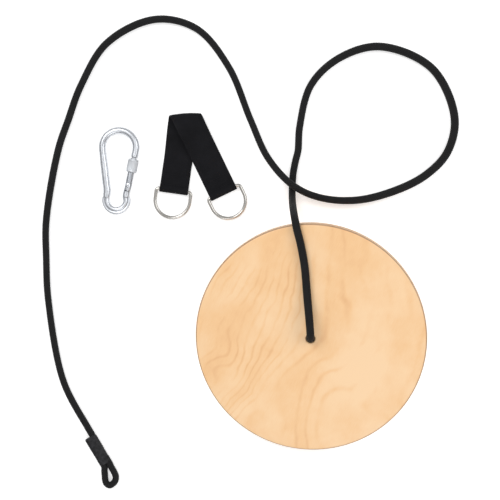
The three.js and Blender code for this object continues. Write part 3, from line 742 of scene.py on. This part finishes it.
def strap_mesh(columns=96, rows=376):
    """The webbing as a closed sheet with rounded selvedges."""
    share = np.linspace(-1, 1, columns + 1)
    share = np.sin(share * math.pi / 2 * 0.93) / math.sin(math.pi / 2 * 0.93) * 0.35 + share * 0.65
    across = share * WEB_WIDTH / 2
    start = -(LOOP_ARC + HEM_RETURN)
    along = start + np.linspace(0, STRAP_LENGTH, rows + 1)
    middle = np.array([[relax(strap_point(s, a)) for a in across] for s in along])
    du = np.gradient(middle, axis=0)
    dv = np.gradient(middle, axis=1)
    normal = np.cross(du, dv)
    normal /= np.linalg.norm(normal, axis=2)[..., None]
    inset = np.clip((np.abs(across) - (WEB_WIDTH / 2 - 1.1 * MM)) / (1.1 * MM), 0, 1)
    half = WEB_THICKNESS / 2 * np.sqrt(1 - 0.9 * inset**2)
    s, a = np.meshgrid(along, across, indexing="ij")
    body = (1 - ease((np.abs(a) - (WEB_WIDTH / 2 - 2.6 * MM)) / (0.8 * MM)))
    groove = np.exp(-(((np.abs(a) - (WEB_WIDTH / 2 - 2.2 * MM)) / (0.35 * MM)) ** 2))
    relief = web_relief(a, s) * body - 0.16 * MM * groove
    top = middle + normal * (half[None, :] + relief - 0.05 * MM)[..., None]
    under = middle - normal * (half[None, :] + relief - 0.05 * MM)[..., None]
    wide, long = columns + 1, rows + 1
    points = np.vstack([top.reshape(-1, 3), under.reshape(-1, 3)])
    below = wide * long
    faces, uv = [], []

    def add(*corners):
        faces.append(list(corners))
        for k in corners:
            i, j = divmod(k % below, wide)
            uv.append((across[j], along[i] - start))

    for i in range(rows):
        for j in range(columns):
            k = i * wide + j
            add(k, k + wide, k + wide + 1, k + 1)
            add(below + k, below + k + 1, below + k + wide + 1, below + k + wide)
        left, right = i * wide, i * wide + columns
        add(left, below + left, below + left + wide, left + wide)
        add(right, right + wide, below + right + wide, below + right)
    for j in range(columns):
        far = rows * wide + j
        add(j, j + 1, below + j + 1, below + j)
        add(far, below + far, below + far + 1, far + 1)
    return points, faces, uv


points, faces, uv = strap_mesh()
strap = mesh_object("strap_web", points, faces, uv=uv)


def web_look():
    """Black webbing: fine warp yarns, painted darker between the ribs as painted shade, with a faint sheen.
    """
    look = Look("webbing", Roughness=0.75, Sheen_Weight=0.03, Sheen_Roughness=0.45,
                Specular_IOR_Level=0.12)
    across, along, _ = look.split(look.uv())
    yarn = look.math("SINE", look.times(across, TAU / (0.38 * MM)))
    pick = look.math("SINE", look.times(along, TAU / (0.75 * MM)))
    weave = look.times(yarn, pick)
    speckle = look.noise(look.place(), 1100.0, 2.0)
    cloud = look.noise(look.place(), 40.0, 3.0)
    # The weave's hollows are painted darker: painted shade between the yarns.
    tone = look.add(look.times(weave, 0.18), look.times(look.add(speckle, cloud), 0.5))
    look.feed(Base_Color=look.ramp(tone, (0.25, linear(8, 8, 10)), (0.8, linear(30, 30, 34))))
    look.feed(Normal=look.bump(look.add(weave, speckle), 0.09 * MM, 0.7))
    return look.material


finish_piece(strap, web_look(), "strap", "webbing", "strap_webbing")


STITCH_ROWS = (6.4 * MM, 20.5 * MM)  # from the ring's bar
STITCHES = 13  # in a row
STITCH_PITCH = 2.75 * MM
STITCH_LENGTH = 2.3 * MM
THREAD_RADIUS = 0.33 * MM
NUDGE = 0.5 * MM  # to a neighbouring point, for the cloth's directions


def stitch(at, along, up, length, radius):
    """One stitch: a strand of thread that rises from the cloth and dips back into it."""
    rings, sides = 7, 8
    side = up.cross(along)
    points = []
    for i in range(rings):
        t = i / (rings - 1)
        middle = at + along * (t - 0.5) * length + up * radius * (math.sin(math.pi * t) - 0.55)
        r = radius * (0.35 + 0.65 * math.sin(math.pi * t))
        for j in range(sides):
            a = TAU * j / sides
            points.append(middle + side * r * math.cos(a) + up * r * math.sin(a))
    faces = grid_faces(rings, sides).tolist()
    faces.append(list(range(sides))[::-1])
    faces.append([(rings - 1) * sides + j for j in range(sides)])
    return [tuple(p) for p in points], faces


def stitch_rows():
    """Two rows of stitches across each hem, seen on the legs' upper faces."""
    points, faces = [], []
    total = LEG_LENGTHS[0] + FOLD_ARC + LEG_LENGTHS[1]
    for bar, toward in ((0, 1), (total, -1)):
        for distance in STITCH_ROWS:
            length = bar + toward * distance
            for k in range(STITCHES):
                across = (k - STITCHES // 2) * STITCH_PITCH
                here = strap_point(length, across)
                aside = (strap_point(length, across + NUDGE) - here).normalized()
                ahead = (strap_point(length + NUDGE, across) - here).normalized()
                up = ahead.cross(aside)
                up = up if up.z > 0 else -up
                at = here + up * (WEB_THICKNESS / 2 + 0.02 * MM)
                p, f = stitch(at, aside, up, STITCH_LENGTH, THREAD_RADIUS)
                faces += [[v + len(points) for v in face] for face in f]
                points += p
    return points, faces


def thread_look():
    """Black sewing thread with its twist."""
    look = Look("thread", Roughness=0.65, Specular_IOR_Level=0.15)
    twist = look.noise(look.place(), 2600.0, 2.0)
    look.feed(Base_Color=look.ramp(twist, (0.3, linear(14, 14, 16)), (0.7, linear(34, 34, 38))),
              Normal=look.bump(twist, 0.06 * MM, 0.6))
    return look.material


points, faces = stitch_rows()
stitching = mesh_object("strap_stitching", points, faces)
finish_piece(stitching, thread_look(), "strap", "webbing")


# ---------------------------------------------------------------- metal finishes
def metal_look(name, grazing_shade, dark, light, rough, bump=0.004 * MM, grain=900.0):
    """Plated steel: slightly uneven tone and gloss, painted darker as painted shade where it turns away from
    the view, with fine marks.
    """
    look = Look(name, Metallic=1.0)
    cloud = look.noise(look.place(), 60.0, 3.0, 0.5)
    marks = look.noise(look.place(), grain, 3.0, 0.65)
    # Painted shade: the tone goes to the darker grazing colour where the surface turns away from the view.
    turned = look.span(look.node("ShaderNodeLayerWeight", Blend=0.5, out=1), 0.42, 0.86)
    tone = look.mix(turned, look.ramp(cloud, (0.3, dark), (0.7, light)), grazing_shade)
    # Grooves and gaps are painted darker: painted shade in the crevices.
    occlusion_for_painted_shade = look.node("ShaderNodeAmbientOcclusion", {"samples": 6}, out=1, Distance=1.6 * MM)
    tone = look.mix(look.span(occlusion_for_painted_shade, 0.2, 0.75), linear(40, 40, 42), tone)
    look.feed(Base_Color=tone,
              Roughness=look.span(look.add(cloud, marks), 0.7, 1.3, rough[0], rough[1]),
              Normal=look.bump(marks, bump, 0.6))
    return look.material


# Each finish: painted shade at grazing angles, dark and light tones, and its span of roughness.
nickel = metal_look("nickel_wire", linear(62, 59, 56), linear(188, 185, 180), linear(206, 203, 198),
                    (0.16, 0.26))
zinc = metal_look("zinc_plate", linear(150, 153, 158), linear(210, 213, 218), linear(224, 227, 232),
                  (0.32, 0.42))
zinc_matte = metal_look("zinc_knurled", linear(200, 203, 207), linear(212, 215, 219),
                        linear(226, 229, 233), (0.5, 0.62), 0.02 * MM, 1500.0)


# ---------------------------------------------------------------- D-rings
def ring_points():
    half = RING_HALF_WIDTH
    leg_end = RING_DEPTH - half
    corner = [(half - RING_CORNER + RING_CORNER * math.cos(a), -RING_CORNER + RING_CORNER * math.sin(a))
              for a in np.radians((90, 60, 30, 0))]
    bow = [(half * math.cos(a), -leg_end + half * math.sin(a)) for a in np.radians(np.arange(0, -81, -10))]
    right = [(0.05 * MM, 0), (6 * MM, 0), (13 * MM, 0), *corner, (half, -(leg_end + RING_CORNER) / 2), *bow]
    left = [(-x, y) for x, y in right][::-1]
    return [Vector((x, y, 0)) for x, y in [*right, (0, -RING_DEPTH), *left]]


def ring_section(run, angle):
    """Round wire, raised a little where the bar's two ends are welded."""
    from_weld = np.minimum(run, run.max() - run)
    return RING_WIRE * (1 + 0.07 * np.exp(-((from_weld / (1.2 * MM)) ** 2)) - 0.05 * (from_weld < 0.2 * MM))


def d_ring(name, body, node, upper):
    end = LEG_LENGTHS[0] + FOLD_ARC + LEG_LENGTHS[1] if upper else 0
    at = strap_point(end, 0)
    heading = FOLD_HEADING + (LEG_ANGLE if upper else -LEG_ANGLE)
    line, run = spaced(catmull(ring_points()), 0.6 * MM)
    points, faces, _ = tube(line, run, ring_section, 24)
    ring = mesh_object(name, points, faces)
    at += Vector((math.cos(heading), math.sin(heading), 0)) * (RING_ASIDE if upper else 0)
    settle(ring, Matrix.Translation((at.x, at.y, BAR_HEIGHT))
           @ Matrix.Rotation(heading, 4, "Z") @ Matrix.Rotation(RING_DIP, 4, "X"))
    return finish_piece(crease(ring, 50), nickel, body, "nickel_wire", node)


d_ring("left_ring_wire", "left_ring", "d_ring_left", False)
d_ring("right_ring_wire", "right_ring", "d_ring_right", True)

# ---------------------------------------------------------------- carabiner
gate_down = Vector((-math.sin(GATE_LEAN), -math.cos(GATE_LEAN), 0))
spine_down = Vector((math.sin(SPINE_LEAN), -math.cos(SPINE_LEAN), 0))
nose_root = TOP_CENTRE + TOP_RADIUS * Vector((math.cos(GATE_LEAN), -math.sin(GATE_LEAN), 0))
nose_end = nose_root + gate_down * NOSE_STRAIGHT
gate_pivot = nose_end + gate_down * (NOSE_GAP + GATE_LENGTH)
spine_top = TOP_CENTRE - TOP_RADIUS * Vector((math.cos(SPINE_LEAN), math.sin(SPINE_LEAN), 0))
clip_frame = Matrix.Translation(CLIP_AT) @ Matrix.Rotation(CLIP_TILT, 4, spine_down)
gate_local = Matrix.Translation(gate_pivot) @ Matrix.Rotation(-GATE_LEAN, 4, "Z")
gate_frame = clip_frame @ gate_local


def arc_points(centre, radius, start, end, count):
    return [centre + radius * Vector((math.cos(a), math.sin(a), 0))
            for a in np.radians(np.linspace(start, end, count + 1))]


def clip_line():
    """The wire's middle line: nose, top bend, spine, bottom bend and up to the gate's heel."""
    nose = [nose_end + gate_down * NECK_LENGTH, nose_end.lerp(nose_root, 0.5)]
    top = arc_points(TOP_CENTRE, TOP_RADIUS, -12.2, 186.5, 16)
    spine = [spine_top + spine_down * 60 * MM * t for t in (0.08, 0.3, 0.52, 0.74, 0.92)]
    bottom = arc_points(BOTTOM_CENTRE, BOTTOM_RADIUS, 172, 352, 14)
    heel = [gate_pivot + gate_down * d * MM for d in (13, 3)]
    return spaced(catmull([*nose, *top, *spine, *bottom, *heel]), 0.6 * MM)


PRESSED_FROM, PRESSED_TO, PRESSED_EASE = 164, 376, 5  # degrees round the bottom bend's centre


def pressed(line):
    """How far each point of the line is into the pressed bottom bend, from 0 to 1."""
    x, y = line[:, 0] - BOTTOM_CENTRE.x, line[:, 1] - BOTTOM_CENTRE.y
    angle = np.degrees(np.arctan2(y, x)) % 360
    angle = np.where(angle < 90, angle + 360, angle)
    near = np.hypot(x, y) < BOTTOM_RADIUS * 1.35
    return near * ease((angle - PRESSED_FROM) / PRESSED_EASE) * ease((PRESSED_TO - angle) / PRESSED_EASE)


RIB = (-1.1 * MM, 3.3 * MM)  # inside of the pressed bend: where its middle is, outwards, and its radius
RIM = (3.45 * MM, 1.95 * MM)  # the rim outside it


def lobe(out, across, centre, radius):
    """Distance to a circle set off outwards, in the direction with these two parts."""
    reach = radius**2 - (centre * across) ** 2
    return np.where(reach > 0, centre * out + np.sqrt(np.maximum(reach, 0)), 0)


def clip_section(line):
    """Round wire, a little wider down the spine; in the bend a slim rib with a rim outside it."""
    amount = pressed(line)[:, None]
    down = -line[:, 1][:, None]
    spine = (line[:, 0] < -5 * MM)[:, None] * ease((down + 22 * MM) / (12 * MM))
    spine = spine * ease((34.5 * MM - down) / (3 * MM))
    nose = 1.1 * MM

    def section(run, angle):
        up, out = np.cos(angle), np.sin(angle)
        bend = np.maximum(lobe(out, up, *RIB), lobe(out, up, *RIM))
        radius = CLIP_WIRE + (bend - CLIP_WIRE) * amount
        rounding = 1 - np.clip((run - NECK_LENGTH) / nose, 0, 1)
        radius = np.where(run < NECK_LENGTH, NECK_RADIUS, radius * (1 - 0.14 * rounding**2))
        return radius * up, radius * out * (1 + 0.09 * spine * (1 - amount))
    return section


line, run = clip_line()
points, faces, _ = tube(line, run, clip_section(line), 48)
body = mesh_object("carabiner_wire", points, faces)


def prism(name, outline, depth):
    """A closed plate from an outline in XY, centred on Z."""
    n = len(outline)
    points = [(x, y, z) for z in (-depth / 2, depth / 2) for x, y in outline]
    faces = [list(range(n))[::-1], list(range(n, 2 * n))]
    faces += [[i, (i + 1) % n, n + (i + 1) % n, n + i] for i in range(n)]
    return mesh_object(name, points, faces)


def cylinder(name, radius, low, high, axis, sides=64):
    """A closed round bar along the local Y or Z axis."""
    points, faces = [], []
    for h in (low, high):
        for j in range(sides):
            a = TAU * j / sides
            c, s = radius * math.cos(a), radius * math.sin(a)
            points.append((c, h, -s) if axis == "Y" else (c, s, h))
    faces = grid_faces(2, sides).tolist() + [list(range(sides))[::-1], list(range(sides, 2 * sides))]
    return mesh_object(name, points, faces)


swing = cylinder("swing", GATE_HEEL + 0.4 * MM, -10 * MM, 10 * MM, "Z")
swing.data.transform(gate_local)
boolean(body, swing, "DIFFERENCE")
low_edge = -GATE_HEEL - 4 * MM
tongue_outline = [(-TONGUE_RADIUS, low_edge), (TONGUE_RADIUS, low_edge)]
tongue_outline += [(TONGUE_RADIUS * math.cos(a), TONGUE_RADIUS * math.sin(a))
                   for a in np.linspace(0, math.pi, 25)]
tongue = prism("tongue", tongue_outline, 2 * TONGUE_HALF_THICKNESS)
boolean(tongue, cylinder("pin_hole", PIN_RADIUS + TONGUE_CLEARANCE, -10 * MM, 10 * MM, "Z", 32), "DIFFERENCE")
tongue.data.transform(gate_local)
boolean(body, tongue, "UNION")
settle(body, clip_frame)
finish_piece(crease(body, 32), zinc, "carabiner", "zinc_plate", "carabiner_body")


def alike_ends(profile, low, high):
    """A turned outline from (radius, distance from the end), the same at both ends."""
    return [(r, low + d) for r, d in profile] + [(r, high - d) for r, d in profile[::-1]]


def turned(name, outline, sides, bump=None):
    """A lathe piece about the gate's own long axis, Y."""
    points, faces = lathe(outline, sides, bump)
    points = np.stack([points[:, 0], points[:, 2], -points[:, 1]], axis=1)
    return mesh_object(name, points, faces)


THREAD_LOW, THREAD_HIGH, THREAD_STEP = 4.2 * MM, 36.6 * MM, 1.0 * MM
SLOT_LOW, SLOT_HIGH, SLOT_HALF_WIDTH = -8.4 * MM, 5.6 * MM, 6 * MM


def gate_outline():
    """Half section of the gate: heel, rod, thread under the lock sleeve, bored for the spring."""
    r = GATE_RADIUS - 0.05 * MM
    outline = [(AXIS, -GATE_HEEL), (r - 1.2 * MM, -GATE_HEEL), (r - 0.3 * MM, -GATE_HEEL + 1.2 * MM),
               (r, -GATE_HEEL + 2.4 * MM), (r, THREAD_LOW - 0.6 * MM)]
    turns = int((THREAD_HIGH - THREAD_LOW) / THREAD_STEP)
    for k in range(turns):
        y = THREAD_LOW + k * THREAD_STEP
        outline += [(r - 0.35 * MM, y), (r - 0.35 * MM, y + 0.2 * MM), (r, y + 0.5 * MM), (r, y + 0.75 * MM)]
    top = GATE_LENGTH
    outline += [(r - 0.2 * MM, top - 0.6 * MM), (r - 0.8 * MM, top), (AXIS, top)]
    return outline


gate = turned("gate_rod", gate_outline(), 56)
slot_outline = [(-SLOT_HALF_WIDTH, SLOT_LOW), (SLOT_HALF_WIDTH, SLOT_LOW),
                (SLOT_HALF_WIDTH, SLOT_HIGH), (-SLOT_HALF_WIDTH, SLOT_HIGH)]
gate_slot = prism("slot", slot_outline, 2 * (TONGUE_HALF_THICKNESS + TONGUE_CLEARANCE))
boolean(gate, gate_slot, "DIFFERENCE")
boolean(gate, cylinder("bore", 2.6 * MM, 4 * MM, 30 * MM, "Y", 40), "DIFFERENCE")
boolean(gate, cylinder("pin_hole", PIN_RADIUS + 0.1 * MM, -10 * MM, 10 * MM, "Z", 32), "DIFFERENCE")
settle(gate, gate_frame)
finish_piece(crease(gate, 35), zinc, "gate", "zinc_plate", "gate")

rivet_end = [(AXIS, 0), (1.0 * MM, 0.08 * MM), (1.6 * MM, 0.5 * MM), (PIN_RADIUS, 0.9 * MM)]
points, faces = lathe(alike_ends(rivet_end, -RIVET_HALF, RIVET_HALF), 32)
rivet = mesh_object("gate_rivet", points, faces)
settle(rivet, gate_frame)
finish_piece(crease(rivet, 40), zinc, "carabiner", "zinc_plate", "gate_pin")


def lock_outline():
    """Half section of the lock sleeve: rounded ends, with close points where the knurl begins."""
    r = LOCK_RADIUS - 0.1 * MM
    end = [(LOCK_BORE, 0), (r - 0.9 * MM, 0), (r - 0.35 * MM, 0.25 * MM), (r, 0.9 * MM)]
    end += [(r, LOCK_BAND + d * MM) for d in (0, 0.4, 0.8)]
    return alike_ends(end, LOCK_TOP - LOCK_LENGTH, LOCK_TOP)


def knurl(r, y, a):
    """Straight flutes round the middle of the sleeve, between two plain bands."""
    low, high = LOCK_TOP - LOCK_LENGTH, LOCK_TOP
    band = ease((y - low - LOCK_BAND) / (0.8 * MM)) * ease((high - LOCK_BAND - y) / (0.8 * MM))
    outer = r > LOCK_RADIUS - 0.3 * MM
    return r - outer * band * 0.34 * MM * (0.5 + 0.5 * np.cos(a * 32)) ** 0.7


lock = turned("lock_sleeve_knurled", lock_outline(), 256, knurl)
settle(lock, gate_frame)
finish_piece(crease(lock, 38), zinc_matte, "lock_sleeve", "zinc_plate", "lock_sleeve")

for node in ("gate_spring", "spring_plunger"):
    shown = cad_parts[node]
    shown.data.materials.clear()
    shown.data.materials.append(zinc)

# ---------------------------------------------------------------- floor and studio
floor = mesh_object("floor", [(-4, -4, 0), (4, -4, 0), (4, 4, 0), (-4, 4, 0)], [[0, 1, 2, 3]], smooth=False)
floor.location.z = -0.3 * MM
floor_look = Look("floor_paper", Roughness=0.9, Specular_IOR_Level=0.1, Emission_Color=(1, 1, 1, 1),
                  Emission_Strength=0.45)
floor_cloud = floor_look.noise(floor_look.place(), 3.0, 2.0)
floor_tone = floor_look.ramp(floor_cloud, (0.0, linear(238, 238, 238)), (1.0, linear(241, 241, 241)))
floor_look.feed(Base_Color=floor_tone)
floor.data.materials.append(floor_look.material)

world = bpy.data.worlds.new("studio")
bpy.context.scene.world = world
world.use_nodes = True
nodes, links = world.node_tree.nodes, world.node_tree.links
direction = nodes.new("ShaderNodeTexCoord")
parts = nodes.new("ShaderNodeSeparateXYZ")
links.new(direction.outputs["Generated"], parts.inputs[0])
sky = nodes.new("ShaderNodeValToRGB")
links.new(parts.outputs[2], sky.inputs[0])
horizon, overhead = sky.color_ramp.elements
horizon.position, horizon.color = 0.02, (0.1, 0.103, 0.108, 1)
overhead.position, overhead.color = 0.75, (1, 1, 1, 1)
links.new(sky.outputs[0], nodes["Background"].inputs[0])
nodes["Background"].inputs[1].default_value = 0.6


def soft_light(name, at, size, power, colour=(1, 1, 1)):
    light = bpy.data.lights.new(name, "AREA")
    light.shape = "DISK"
    light.size = size
    light.energy = power
    light.color = colour
    made = bpy.data.objects.new(name, light)
    made.location = at
    made.rotation_euler = (Vector((0, 0.03, 0)) - Vector(at)).to_track_quat("-Z", "Y").to_euler()
    bpy.context.scene.collection.objects.link(made)


soft_light("key", (-1.1, 1.3, 2.1), 1.5, 25)
soft_light("fill", (1.5, 0.6, 1.9), 1.5, 13)
soft_light("front", (0.1, -1.6, 1.8), 1.4, 11)
